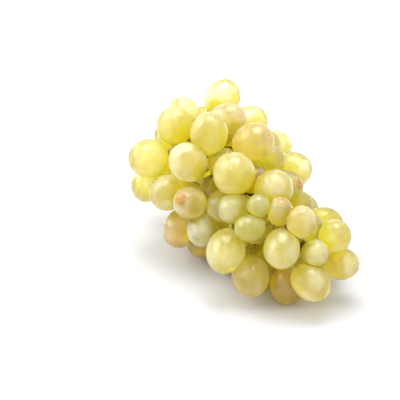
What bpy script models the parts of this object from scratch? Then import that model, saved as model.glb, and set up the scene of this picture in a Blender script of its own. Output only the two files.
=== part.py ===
"""Bunch of white table grapes, lying on its side. Metres, +Z up, +X from stalk to tip.

Every spray (the grapes of one side branch) is one fused solid, and the stalk with all of
its branches is another. Grapes are seated round the bunch's own axis, then a short settling
pass gives each one room, keeps sprays apart and rests the bunch on its lowest grapes.
"""
import math

import bmesh
import bpy
import numpy as np
from mathutils import Vector

MM = 0.001

# ---- driving dimensions, mm ----
AXIS_REAR = np.array((-62.0, 0.0, 50.0))    # stalk end of the bunch's axis
AXIS_FRONT = np.array((62.0, 0.0, 27.0))    # tip end
STRETCH = 1.21             # grape length over width
SPRAY_GAP = 0.45           # air between grapes of different sprays
WELD = 1.7                 # how far linked grapes of one spray sink into each other
STEM_CLEAR = 0.6           # air between a stem and any grape it passes
FLAT_DIP = 0.9             # how far the lowest grapes are pressed flat
PEDICEL_RADIUS = 0.85
PEDICEL_KNEE = 5.5         # where a grape stem starts to turn, behind its grape
PEDICEL_TURN = 3.9         # where it has turned square to the grape
PEDICEL_BEND = 2.2         # how far the turn reaches back toward the branch
PEDICEL_GAP = 0.35         # air between a grape stem's end and its grape
CAP_RADIUS = 1.9           # flared end of a grape stem
LATERAL_RADIUS = 1.25
LATERAL_ROOT = 1.55        # radius of a branch where it leaves the stalk
LATERAL_SETBACK = 9.0      # a branch leaves the stalk this far behind its own end
LATERAL_OVERRUN = 0.8      # how far a branch runs on past its fork
KNUCKLE_RADIUS = 2.1       # swelling where the grape stems leave a branch
KNUCKLE_LENGTH = 2.4       # half of it, along the branch
FIRST_FOOT = -6.0          # no branch leaves the stalk further back than this
ORIGIN_SHIFT = (6.3, 1.5)    # puts the middle of the footprint on the origin

# ---- facets ----
GRAPE_FACETS = (12, 8)     # round a grape, and from end to end
SMALL_FACETS = (10, 7)     # the same on a small grape
KNUCKLE_FACETS = (6, 4)
SMALL_GRAPE = 18.5         # widths up to this count as small, mm
STALK_SIDES = 8
LATERAL_SIDES = 6
PEDICEL_SIDES = 5

# ---- settling, mm ----
ROUNDS = 420
LINKING = (0.45, 0.6)      # parts of the run after which the linked pairs are chosen
SHORT_OF_WELD = 0.5        # unlinked grapes of a spray that sink in less than this are parted
SURE_WELD = 1.3            # those that sink in more are eased to at least this
DEEP_WELD = 2.1            # nothing sinks in further than this
STIFFNESS = 9              # a near grape gives way this many times less than a hidden one
EASE = 0.55                # share of its wanted move that a grape makes in one step
LONGEST_STEP = 1.5
STEM_PUSH = 0.8            # share by which a grape moves off a stalk or a branch
STEM_GIVE = 0.35           # share by which a grape stem and a grape move off each other
HANGING = 3.5              # hidden grapes this close above the ground come down to it

# stalk: along, around, reach, radius (mm, degrees, mm, mm)
STALK = (
    (-13, 0, 0.0, 2.4),
    (2, 0, 0.0, 2.2),
    (34, -60, 1.5, 1.9),
    (66, 60, 1.5, 1.6),
    (96, 180, 1.0, 1.3),
    (110, 0, 0.0, 1.0),
)

# branch ends: along the axis mm, around it degrees (0 on top, 90 toward +Y), reach from it mm
BRANCHES = {
    "left_shoulder": (10, -62, 14),
    "crown": (6, 24, 13),
    "upper_flank": (36, -42, 15),
    "flank": (62, -52, 11),
    "belly": (41, -118, 14),
    "right_shoulder": (18, 80, 14),
    "right_flank": (46, 105, 14),
    "middle": (88, -48, 8),
    "lower": (84, -125, 11),
    "end": (104, 150, 6),
    "rear": (1, 170, 12),
    "keel_rear": (28, 175, 14),
    "keel_front": (64, 180, 13),
    "off_rear": (36, 140, 14),
    "off_front": (84, 120, 10),
}

# grapes of the near side: along, around, reach, width, then where the blossom end points
# (degrees leaned toward the bunch's tip, degrees around the axis)
NEAR = {
    "left_shoulder": (
        (15, -76, 40, 21, 12, -75),
        (15, -41, 36, 20.5, 21, -24),
        (14, -102, 37, 20, 25, -109),
        (3, -23, 25, 19, 0, -24),
    ),
    "crown": (
        (9, 20, 34, 19.5, 9, 23),
        (25, 7, 29, 18.5, 37, 40),
    ),
    "upper_flank": (
        (39, -28, 39, 20.5, -3, 1),
        (42, -55, 40, 20.5, 6, -37),
        (55, -2, 33, 21, 40, 18),
    ),
    "flank": (
        (67, -36, 37, 22.5, 26, -27),
        (78, -65, 30, 16, 18, -86),
    ),
    "belly": (
        (33, -92, 37, 19.5, 20, -93),
        (50, -85, 35, 18, 10, -55),
        (42, -123, 40, 18.5, 43, -123),
        (57, -117, 31, 19.5, 41, -85),
        (48, -146, 36, 17.5, 30, -150),
    ),
    "right_shoulder": (
        (13, 64, 31, 20, 20, 66),
        (30, 86, 37, 20, 20, 86),
    ),
    "right_flank": (
        (51, 86, 33, 21, 32, 64),
        (69, 113, 31, 19, 30, 114),
    ),
    "middle": (
        (82, -18, 23, 20.5, 30, -14),
        (89, -41, 33, 12.5, 20, -42),
        (94, -67, 31, 14.5, 0, -84),
        (97, -33, 24, 13.5, 4, 1),
        (112, -17, 22, 15.5, 3, -9),
        (111, -69, 22, 19, 50, -110),
    ),
    "lower": (
        (85, -96, 36, 20.5, 38, -128),
        (98, -127, 31, 20, 55, -122),
        (110, -156, 23, 18.5, 30, -158),
    ),
    "end": (
        (117, -35, 8, 14.5, 39, -30),
        (115, 46, 19, 17.5, 27, -12),
        (122, 125, 18, 17.5, 50, 59),
        (126, -138, 15, 19, 75, 136),
    ),
}

# grapes of the far side and the underside: along, around, reach, width; they point straight
# out, leaned FAR_LEAN toward the tip, and partly away from their own branch
FAR_LEAN = 30.0
FAR_SPREAD = 0.3
INNER_SPREAD = 1.0
FAR = {
    "right_shoulder": ((10, 100, 29, 19), (36, 60, 25, 19)),
    "right_flank": ((60, 95, 18, 17), (76, 35, 17, 15), (82, 85, 17, 15)),
    "rear": (
        (-7, 78, 14, 19),
        (-8, 125, 18, 19.5),
        (7, 142, 27, 19),
        (7, 179, 29, 20),
        (-6, -62, 12, 16),
        (-7, -138, 19, 20),
        (10, -141, 27, 18.5),
    ),
    "keel_rear": ((25, 164, 36, 20), (25, -167, 36, 19.5), (27, 134, 32, 20)),
    "off_rear": ((44, 151, 36, 19), (43, 179, 33, 19.5), (48, 124, 33, 19)),
    "keel_front": ((63, 147, 33, 20), (63, 180, 30, 20), (67, -148, 33, 19.5), (80, 167, 28, 19.5)),
    "lower": ((85, -153, 28, 18.5), (97, 176, 25, 18.5)),
    "off_front": ((80, 150, 17, 17), (86, 142, 31, 19), (100, 135, 18, 17.5), (92, 92, 19, 16.5)),
}

# small grapes of the inside, seen only through gaps: along, around, reach, width
INNER = {
    "left_shoulder": ((26, -74, 22, 17.5), (17, -16, 15, 16.5)),
    "crown": ((22, 34, 17, 16),),
    "upper_flank": ((44, -28, 21, 17),),
    "flank": ((59, -74, 22, 18.5), (70, -30, 14, 16)),
    "belly": ((38, -146, 18, 16), (54, -150, 15, 16), (24, -128, 23, 16), (44, -100, 19, 14)),
    "right_shoulder": ((28, 96, 18, 16),),
    "right_flank": ((47, 40, 22, 17),),
    "middle": ((86, -80, 16, 15),),
    "keel_rear": ((22, -175, 19, 16),),
    "off_rear": ((40, 134, 17, 16),),
    "keel_front": ((72, 178, 12, 15),),
    "lower": ((92, -160, 12, 14), (76, -120, 20, 15)),
    "end": ((100, 30, 8, 13),),
}

SKIN_COLOUR = (0.62, 0.60, 0.16, 1.0)
STEM_COLOUR = (0.19, 0.13, 0.05, 1.0)


# ---- the bunch's own directions ----

def unit(vectors):
    return vectors / np.linalg.norm(vectors, axis=-1, keepdims=True)


ALONG = unit(AXIS_FRONT - AXIS_REAR)
RISE = unit(np.array((0.0, 0.0, 1.0)) - ALONG * ALONG[2])
ACROSS = np.cross(RISE, ALONG)


def outward(around):
    turn = math.radians(around)
    return RISE * math.cos(turn) + ACROSS * math.sin(turn)


def spot(along, around, reach):
    return AXIS_REAR + ALONG * along + outward(around) * reach


def pointing(lean, around):
    tilt = math.radians(lean)
    return ALONG * math.sin(tilt) + outward(around) * math.cos(tilt)


# ---- where the grapes sit ----

class Grapes:
    """Seats of all the grapes, spray by spray."""

    def __init__(self):
        seats, tips, widths, owner, near = [], [], [], [], []
        for number, name in enumerate(BRANCHES):
            for along, around, reach, width, lean, turn in NEAR.get(name, ()):
                seats.append(spot(along, around, reach))
                tips.append(pointing(lean, turn))
                widths.append(width)
                owner.append(number)
                near.append(True)
            fork = spot(*BRANCHES[name])
            hidden = [(row, FAR_SPREAD) for row in FAR.get(name, ())]
            hidden += [(row, INNER_SPREAD) for row in INNER.get(name, ())]
            for (along, around, reach, width), spread in hidden:
                seat = spot(along, around, reach)
                seats.append(seat)
                tips.append(unit(spread * unit(seat - fork) + pointing(FAR_LEAN, around)))
                widths.append(width)
                owner.append(number)
                near.append(False)
        self.seat = np.array(seats)
        self.centre = self.seat.copy()
        self.tip = np.array(tips)
        self.half = np.array(widths) / 2
        self.long = self.half * STRETCH
        self.owner = np.array(owner)
        self.near = np.array(near)
        self.count = len(seats)
        self.fork = np.array([spot(*end) for end in BRANCHES.values()])
        leaving = [max(end[0] - LATERAL_SETBACK, FIRST_FOOT) for end in BRANCHES.values()]
        self.foot = np.array([spot(along, 0, 0) for along in leaving])

    def surface(self, toward, axis, rows):
        """Distance from a grape's centre to its skin in a direction."""
        cosine = (toward * axis).sum(-1) ** 2
        long = self.long[rows]
        half = self.half[rows]
        return 1.0 / np.sqrt(cosine / long ** 2 + (1.0 - cosine) / half ** 2)

    def pole(self, reach):
        return self.centre - self.tip * (self.long + reach)[:, None]


def gaps(grapes):
    """Unit vectors between all grapes, and the air between their skins."""
    every = np.arange(grapes.count)
    across = grapes.centre[None] - grapes.centre[:, None]
    distance = np.linalg.norm(across, axis=-1) + np.eye(grapes.count)
    toward = across / distance[..., None]
    first = grapes.surface(toward, grapes.tip[:, None], every[:, None])
    second = grapes.surface(toward, grapes.tip[None], every[None])
    air = distance - first - second
    air[np.eye(grapes.count, dtype=bool)] = 99.0
    return toward, air


def choose_links(grapes, air):
    """Within each spray, the fewest and closest pairs that join all of its grapes."""
    links = np.zeros_like(air, dtype=bool)
    for number in range(len(BRANCHES)):
        waiting = list(np.where(grapes.owner == number)[0])
        joined = [waiting.pop(0)]
        while waiting:
            _, inner, outer = min((air[a, b], a, b) for a in joined for b in waiting)
            links[inner, outer] = True
            links[outer, inner] = True
            joined.append(outer)
            waiting.remove(outer)
    return links


def grape_moves(grapes, links):
    """Steps that open or close the air between grapes."""
    toward, air = gaps(grapes)
    same = grapes.owner[:, None] == grapes.owner[None]
    loose = same & ~links
    crowded = ~same & (air < SPRAY_GAP)
    apart = links & (air > -WELD)
    grazing = loose & (air > -SHORT_OF_WELD) & (air < SPRAY_GAP)
    shallow = loose & (air > -SURE_WELD) & (air <= -SHORT_OF_WELD)
    deep = same & (air < -DEEP_WELD)
    move = np.where(crowded | grazing, SPRAY_GAP - air, 0.0)
    move = np.where(apart, np.maximum(-0.6 * (air + WELD), -LONGEST_STEP), move)
    move = np.where(shallow, -0.5 * (air + SURE_WELD), move)
    move = np.where(deep, -DEEP_WELD - air, move)
    lightness = np.where(grapes.near, 1 / STIFFNESS, 1.0)
    share = lightness[:, None] / (lightness[:, None] + lightness[None])
    return -EASE * (toward * (move * share)[..., None]).sum(1)


def stem_runs(grapes):
    """All straight runs of stem: start, end, radius. First come the far halves of the grape
    stems, then their near halves with the caps, then the branches and the stalk."""
    stalk = np.array([spot(*row[:3]) for row in STALK])
    thick = np.array([row[3] for row in STALK])
    knee = grapes.pole(PEDICEL_KNEE)
    start = np.concatenate([grapes.fork[grapes.owner], knee, grapes.foot, stalk[:-1]])
    end = np.concatenate([knee, grapes.pole(PEDICEL_GAP), grapes.fork, stalk[1:]])
    radius = np.concatenate([
        np.full(grapes.count, PEDICEL_RADIUS),
        np.full(grapes.count, (PEDICEL_RADIUS + CAP_RADIUS) / 2),
        np.full(len(grapes.fork), LATERAL_RADIUS),
        thick[:-1],
    ])
    return start, end, radius


def stem_moves(grapes):
    """Steps that clear the stems: a grape moves off a stem, and a grape stem gives way."""
    start, end, radius = stem_runs(grapes)
    run = end - start
    from_start = grapes.centre[:, None] - start[None]
    part = (from_start * run).sum(-1) / np.maximum((run * run).sum(-1), 1e-9)
    part = np.clip(part, 0.0, 1.0)
    off = from_start - run[None] * part[..., None]
    distance = np.linalg.norm(off, axis=-1) + 1e-6
    away = off / distance[..., None]
    every = np.arange(grapes.count)
    skin = grapes.surface(away, grapes.tip[:, None], every[:, None])
    need = np.maximum(skin + radius[None] + STEM_CLEAR - distance, 0.0)
    need[every, every] = 0.0
    need[every, grapes.count + every] = 0.0
    strength = np.full(len(radius), STEM_PUSH)
    strength[:2 * grapes.count] = STEM_GIVE
    push = (away * (need * strength)[..., None]).sum(1)
    for block in range(2):
        columns = slice(block * grapes.count, (block + 1) * grapes.count)
        lever = part[:, columns] if block == 0 else 1.0
        push -= (away[:, columns] * (need[:, columns] * STEM_GIVE * lever)[..., None]).sum(0)
    return push * np.where(grapes.near, 0.15, 1.0)[:, None]


def settle():
    """Grapes with room for each other and for the stems, resting on the ground."""
    grapes = Grapes()
    links = np.zeros((grapes.count, grapes.count), dtype=bool)
    rise = np.sqrt(grapes.half ** 2 + (grapes.long ** 2 - grapes.half ** 2) * grapes.tip[:, 2] ** 2)
    for step in range(ROUNDS):
        part = step / ROUNDS
        hold = float(np.interp(part, (0.0, 0.5, 0.8, 0.9), (0.3, 0.12, 0.04, 0.0)))
        firm = max(hold, 0.02) if part < 0.97 else 0.0
        pull = np.where(grapes.near, firm, 0.5 * hold)
        grapes.centre += (grapes.seat - grapes.centre) * pull[:, None]
        if step in [int(ROUNDS * moment) for moment in LINKING]:
            links = choose_links(grapes, gaps(grapes)[1])
        move = grape_moves(grapes, links) + stem_moves(grapes)
        size = np.linalg.norm(move, axis=1, keepdims=True)
        grapes.centre += move * np.minimum(1.0, LONGEST_STEP / np.maximum(size, 1e-9))
        under = rise - FLAT_DIP - grapes.centre[:, 2]
        grapes.centre[:, 2] += np.maximum(under, 0.0)
        if part > 0.5:
            hanging = ~grapes.near & (under > -HANGING)
            grapes.centre[:, 2] += np.where(hanging, 0.15 * under, 0.0)
    return grapes


# ---- making solids ----

def placed(point):
    return Vector(((point[0] + ORIGIN_SHIFT[0]) * MM, (point[1] + ORIGIN_SHIFT[1]) * MM, point[2] * MM))


def clear_scene():
    for old in list(bpy.data.objects):
        bpy.data.objects.remove(old, do_unlink=True)
    for old in list(bpy.data.collections):
        bpy.data.collections.remove(old)


def new_collection(name, parent=None):
    group = bpy.data.collections.new(name)
    (parent or bpy.context.scene.collection).children.link(group)
    return group


def new_object(name, mesh, group):
    thing = bpy.data.objects.new(name, mesh)
    group.objects.link(thing)
    return thing


def principled(name, colour, roughness):
    material = bpy.data.materials.new(name)
    material.use_nodes = True
    shader = material.node_tree.nodes["Principled BSDF"]
    shader.inputs["Base Color"].default_value = colour
    shader.inputs["Roughness"].default_value = roughness
    return material


def skin_material(name):
    material = principled("grape_skin_" + name, SKIN_COLOUR, 0.38)
    shader = material.node_tree.nodes["Principled BSDF"]
    shader.inputs["Subsurface Weight"].default_value = 0.6
    shader.inputs["Subsurface Scale"].default_value = 0.006
    return material


def stem_material():
    return principled("grape_stem", STEM_COLOUR, 0.75)


def ellipsoid_mesh(name, centre, axis, half, long, facets):
    bm = bmesh.new()
    bmesh.ops.create_uvsphere(bm, u_segments=facets[0], v_segments=facets[1], radius=1.0)
    turn = Vector(axis).to_track_quat("Z", "Y").to_matrix()
    middle = placed(centre)
    for vert in bm.verts:
        x, y, z = vert.co
        vert.co = middle + turn @ Vector((x * half * MM, y * half * MM, z * long * MM))
    mesh = bpy.data.meshes.new(name)
    bm.to_mesh(mesh)
    bm.free()
    return mesh


def fuse(base, group, solver="EXACT"):
    """One Boolean union of a base object with everything in a collection."""
    join = base.modifiers.new("fuse", "BOOLEAN")
    join.operation = "UNION"
    join.operand_type = "COLLECTION"
    join.collection = group
    join.solver = solver
    graph = bpy.context.evaluated_depsgraph_get()
    mesh = bpy.data.meshes.new_from_object(base.evaluated_get(graph))
    base.modifiers.clear()
    base.data = mesh
    for used in list(group.objects):
        bpy.data.objects.remove(used, do_unlink=True)
    bpy.data.collections.remove(group)


def fill_pockets(bm):
    """Drop closed inner shells, so that a pocket left between fused pieces is solid."""
    waiting = set(bm.verts)
    shells = []
    while waiting:
        found = [waiting.pop()]
        shell = list(found)
        while found:
            for edge in found.pop().link_edges:
                for vert in edge.verts:
                    if vert in waiting:
                        waiting.remove(vert)
                        found.append(vert)
                        shell.append(vert)
        shells.append(shell)
    shells.sort(key=len)
    for shell in shells[:-1]:
        bmesh.ops.delete(bm, geom=shell, context="VERTS")


def press_flat(thing):
    """Cut away what lies under the ground and close the cut with a flat face."""
    bm = bmesh.new()
    bm.from_mesh(thing.data)
    bmesh.ops.remove_doubles(bm, verts=bm.verts, dist=0.000001)
    fill_pockets(bm)
    if min(vert.co.z for vert in bm.verts) < 0.0:
        everything = bm.verts[:] + bm.edges[:] + bm.faces[:]
        cut = bmesh.ops.bisect_plane(
            bm,
            geom=everything,
            dist=0.000001,
            plane_co=(0, 0, 0),
            plane_no=(0, 0, -1),
            clear_outer=True,
        )
        rim = [item for item in cut["geom_cut"] if isinstance(item, bmesh.types.BMEdge)]
        bmesh.ops.holes_fill(bm, edges=rim, sides=0)
    bmesh.ops.recalc_face_normals(bm, faces=bm.faces)
    bm.to_mesh(thing.data)
    bm.free()


def shade_round(thing):
    for face in thing.data.polygons:
        face.use_smooth = abs(face.normal.z) < 0.9999


def make_spray(grapes, number, name, group):
    members = np.where(grapes.owner == number)[0]
    loose = new_collection("loose_" + name, group)
    base = None
    for place, member in enumerate(members):
        small = 2 * grapes.half[member] <= SMALL_GRAPE
        mesh = ellipsoid_mesh(
            "grape",
            grapes.centre[member],
            grapes.tip[member],
            grapes.half[member],
            grapes.long[member],
            SMALL_FACETS if small else GRAPE_FACETS,
        )
        home = group if place == 0 else loose
        grape = new_object("grape_%02d" % member, mesh, home)
        base = base or grape
    base.name = "grapes_" + name
    fuse(base, loose)
    press_flat(base)
    base.data.materials.clear()
    base.data.materials.append(skin_material(name))
    shade_round(base)
    return base


def tube(name, points, radii, sides, group):
    """A closed tube through a list of points, in mm."""
    bm = bmesh.new()
    knots = [placed(point) for point in points]
    side = Vector((0.31, 0.17, 0.93))
    rings = []
    for number, knot in enumerate(knots):
        before = knots[max(number - 1, 0)]
        after = knots[min(number + 1, len(knots) - 1)]
        ahead = (after - before).normalized()
        side = (side - ahead * side.dot(ahead)).normalized()
        other = ahead.cross(side)
        ring = []
        for corner in range(sides):
            turn = 2 * math.pi * corner / sides
            offset = side * math.cos(turn) + other * math.sin(turn)
            ring.append(bm.verts.new(knot + offset * radii[number] * MM))
        rings.append(ring)
    for lower, upper in zip(rings, rings[1:]):
        for corner in range(sides):
            following = (corner + 1) % sides
            bm.faces.new((lower[corner], lower[following], upper[following], upper[corner]))
    bm.faces.new(list(reversed(rings[0])))
    bm.faces.new(rings[-1])
    bmesh.ops.recalc_face_normals(bm, faces=bm.faces)
    mesh = bpy.data.meshes.new(name)
    bm.to_mesh(mesh)
    bm.free()
    return new_object(name, mesh, group)


def make_grape_stems(grapes, group):
    """A thin stem for each grape, from its branch's fork, with a flared cap at the grape."""
    knee = grapes.pole(PEDICEL_KNEE)
    turned = grapes.pole(PEDICEL_TURN)
    cap = grapes.pole(PEDICEL_GAP)
    radii = (PEDICEL_RADIUS, PEDICEL_RADIUS, PEDICEL_RADIUS, CAP_RADIUS)
    for member in range(grapes.count):
        fork = grapes.fork[grapes.owner[member]]
        back = fork - knee[member]
        bend = knee[member] + back * min(0.4, PEDICEL_BEND / np.linalg.norm(back))
        points = (fork, bend, turned[member], cap[member])
        tube("grape_stem_%02d" % member, points, radii, PEDICEL_SIDES, group)


def make_branches(grapes, group):
    """A side branch from the stalk to each fork, with a swelling at the fork."""
    for number, name in enumerate(BRANCHES):
        foot = grapes.foot[number]
        fork = grapes.fork[number]
        ahead = unit(fork - foot)
        past = fork + ahead * LATERAL_OVERRUN
        tube("branch_" + name, (foot, past), (LATERAL_ROOT, LATERAL_RADIUS), LATERAL_SIDES, group)
        swelling = ellipsoid_mesh(
            "fork_" + name,
            fork,
            ahead,
            KNUCKLE_RADIUS,
            KNUCKLE_LENGTH,
            KNUCKLE_FACETS,
        )
        new_object("fork_" + name, swelling, group)


def make_stalk(grapes, group):
    loose = new_collection("loose_stalk", group)
    points = [spot(*row[:3]) for row in STALK]
    radii = [row[3] for row in STALK]
    stalk = tube("stalk", points, radii, STALK_SIDES, group)
    make_branches(grapes, loose)
    make_grape_stems(grapes, loose)
    fuse(stalk, loose, "MANIFOLD")
    press_flat(stalk)
    stalk.data.materials.clear()
    stalk.data.materials.append(stem_material())
    shade_round(stalk)
    return stalk


def main():
    clear_scene()
    group = new_collection("grape_bunch")
    grapes = settle()
    make_stalk(grapes, group)
    for number, name in enumerate(BRANCHES):
        make_spray(grapes, number, name, group)


main()
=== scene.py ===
"""Bunch of white table grapes lying on a pale table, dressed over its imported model.

Every spray of the model is replaced by full grapes with scars, dimples and pressed sides,
and the stalk by a woody one with grown-together joints. Sizes are in mm, turned to metres
where meshes are made. The grapes are seated by the same rules as in the model's source.
"""
import math

import bmesh
import bpy
import numpy as np
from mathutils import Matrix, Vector


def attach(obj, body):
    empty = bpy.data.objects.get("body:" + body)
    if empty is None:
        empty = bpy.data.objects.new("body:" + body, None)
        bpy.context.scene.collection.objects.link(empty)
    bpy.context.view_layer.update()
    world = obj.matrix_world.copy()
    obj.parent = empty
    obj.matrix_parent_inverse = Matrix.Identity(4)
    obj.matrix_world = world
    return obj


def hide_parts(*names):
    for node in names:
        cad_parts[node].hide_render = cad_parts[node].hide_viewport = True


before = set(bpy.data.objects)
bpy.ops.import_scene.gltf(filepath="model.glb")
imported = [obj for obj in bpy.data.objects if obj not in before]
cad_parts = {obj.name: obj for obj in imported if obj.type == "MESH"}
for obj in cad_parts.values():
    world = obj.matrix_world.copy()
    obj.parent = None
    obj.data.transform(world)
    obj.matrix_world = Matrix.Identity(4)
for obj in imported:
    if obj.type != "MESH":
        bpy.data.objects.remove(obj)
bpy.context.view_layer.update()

MM = 0.001

# ---- driving dimensions, mm ----
AXIS_REAR = np.array((-62.0, 0.0, 50.0))    # stalk end of the bunch's axis
AXIS_FRONT = np.array((62.0, 0.0, 27.0))    # tip end
STRETCH = 1.21             # grape length over width
SPRAY_GAP = 0.45           # air between grapes of different sprays
WELD = 1.7                 # how far linked grapes of one spray sink into each other
STEM_CLEAR = 0.6           # air between a stem and any grape it passes
FLAT_DIP = 0.9             # how far the lowest grapes are pressed flat
PEDICEL_RADIUS = 0.85
PEDICEL_KNEE = 5.5         # where a grape stem starts to turn, behind its grape
PEDICEL_TURN = 3.9         # where it has turned square to the grape
PEDICEL_BEND = 2.2         # how far the turn reaches back toward the branch
PEDICEL_GAP = 0.35         # air between a grape stem's end and its grape, in the model
CAP_RADIUS = 1.9           # flared end of a grape stem
LATERAL_RADIUS = 1.25
LATERAL_ROOT = 1.55        # radius of a branch where it leaves the stalk
LATERAL_SETBACK = 9.0      # a branch leaves the stalk this far behind its own end
LATERAL_OVERRUN = 0.8      # how far a branch runs on past its fork
KNUCKLE_RADIUS = 2.1       # swelling where the grape stems leave a branch
FIRST_FOOT = -6.0          # no branch leaves the stalk further back than this
ORIGIN_SHIFT = (6.3, 1.5)  # puts the middle of the footprint on the origin

# ---- settling, mm ----
ROUNDS = 420
LINKING = (0.45, 0.6)      # parts of the run after which the linked pairs are chosen
SHORT_OF_WELD = 0.5        # unlinked grapes of a spray that sink in less than this are parted
SURE_WELD = 1.3            # those that sink in more are eased to at least this
DEEP_WELD = 2.1            # nothing sinks in further than this
STIFFNESS = 9              # a near grape gives way this many times less than a hidden one
EASE = 0.55                # share of its wanted move that a grape makes in one step
LONGEST_STEP = 1.5
STEM_PUSH = 0.8            # share by which a grape moves off a stalk or a branch
STEM_GIVE = 0.35           # share by which a grape stem and a grape move off each other
NEAR_STEM_GIVE = 0.15      # share of a stem's push that a near grape follows
HOLD_AT = (0.0, 0.5, 0.8, 0.9)     # parts of the run
HOLD = (0.3, 0.12, 0.04, 0.0)      # share of the way back to its seat that a near grape makes then
LEAST_HOLD = 0.02          # it makes at least this share, until LET_GO
LET_GO = 0.97              # part of the run after which no grape is drawn back to its seat
HIDDEN_HOLD = 0.5          # a hidden grape is drawn back by this much of HOLD
WELD_SHARE = 0.6           # share of its missing weld that a linked pair wants to make up a step
FIRMING_SHARE = 0.5        # the same for unlinked grapes that are eased to SURE_WELD
HANGING = 3.5              # hidden grapes this close above the ground come down to it
HANGING_FROM = 0.5         # part of the run after which they do
HANGING_SHARE = 0.15       # share of the way down that they make a step
NO_PAIR = 99.0             # stands for the air between a grape and itself
NO_LENGTH = 1e-6           # keeps a distance above zero
TINY = 1e-9                # keeps what is divided by above zero

# ---- fine forms, mm ----
GRAPE_MESH = (72, 56)      # faces round a grape, and from end to end
POLE_CROWDING = 0.72       # how much closer the rings lie at a grape's two ends
LUMPS = 0.16               # how far a grape's skin strays from a true oval
LUMP_WAVES = (1.4, 2.3, 3.6)       # how close the lumps lie, from broad to small
EGG = 0.035                # how much fuller one end of a grape is than the other
SCAR_RADIUS = 0.5          # dry spot that the flower left at a grape's tip
SCAR_HEIGHT = 0.16
SCAR_DIMPLE = (1.9, 0.22)  # radius and depth of the dip round it
STEM_DIMPLE = (3.0, 0.55)  # radius and depth of the dip where the stem goes in
TOUCH_GAP = 0.05           # air left where grapes press on each other
PRESS_EDGE = 0.55          # rounding round a pressed side
CAP_SINK = 0.42            # how far a stem's flared end reaches into its grape's dip
SCAR_DARKEST = 0.8         # 1 is a fully brown scar
BLUSHED_SCAR = 0.9         # a well blushed tip has at least this share of the darkest scar
PEDICEL_RADII = (PEDICEL_RADIUS, 0.8, 0.85, 1.25, CAP_RADIUS)  # fork, bend, turn, flare, cap
PEDICEL_FLARE = 1.3        # where a grape stem starts to flare, behind its grape
LONGEST_BEND = 0.4         # its bend takes up no more than this share of the way to the fork
COLLAR_OUT = 1.5           # swelling where a branch leaves the stalk: how far out
COLLAR_EXTRA = 0.55        # and how much thicker than the branch
STALK_GRAIN = (1.5, 20)    # mm between the rings of the stalk's mesh, and its sides
BRANCH_GRAIN = (1.0, 14)
PEDICEL_GRAIN = (0.7, 12)
BARK_VOXEL = 0.36          # grain of the mesh that grows the stems together
BARK_SOFTENING = (0.5, 3)  # how much each round of smoothing takes off, and the rounds
BARK_ROUGHNESS = 0.09      # how far the bark's ridges stand out
BARK_WAVES = (2.0, 3.4, 5.5)       # how close the ridges lie, in radians of wave a mm
YOUNG_RIDGES = 0.4         # ridges on a young stem, as a share of those on old wood
OLD_WOOD = (3.4, 7.4)      # from the stalk's middle line: the wood is all old, and all young
BRANCH_WOOD = (2.2, 4.2)   # the same round a branch
BRANCH_AGE = 0.75          # how old a branch looks, if the stalk is 1
FIRST_SIDE = (0.31, 0.17, 0.93)    # the rings of every tube start on this side of it

# ---- what is drawn at random ----
SPRAY_SEED = 100           # the first spray's; each next one's is one more
BARK_SEED = 7
HIDDEN_RIPENESS = (0.25, 0.85)     # least and most of a hidden grape
HIDDEN_BLOOM = 0.2         # the most of a hidden grape

# stalk: along, around, reach, radius (mm, degrees, mm, mm)
STALK = (
    (-13, 0, 0.0, 2.4),
    (2, 0, 0.0, 2.2),
    (34, -60, 1.5, 1.9),
    (66, 60, 1.5, 1.6),
    (96, 180, 1.0, 1.3),
    (110, 0, 0.0, 1.0),
)

# branch ends: along the axis mm, around it degrees (0 on top, 90 toward +Y), reach from it mm
BRANCHES = {
    "left_shoulder": (10, -62, 14),
    "crown": (6, 24, 13),
    "upper_flank": (36, -42, 15),
    "flank": (62, -52, 11),
    "belly": (41, -118, 14),
    "right_shoulder": (18, 80, 14),
    "right_flank": (46, 105, 14),
    "middle": (88, -48, 8),
    "lower": (84, -125, 11),
    "end": (104, 150, 6),
    "rear": (1, 170, 12),
    "keel_rear": (28, 175, 14),
    "keel_front": (64, 180, 13),
    "off_rear": (36, 140, 14),
    "off_front": (84, 120, 10),
}

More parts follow.
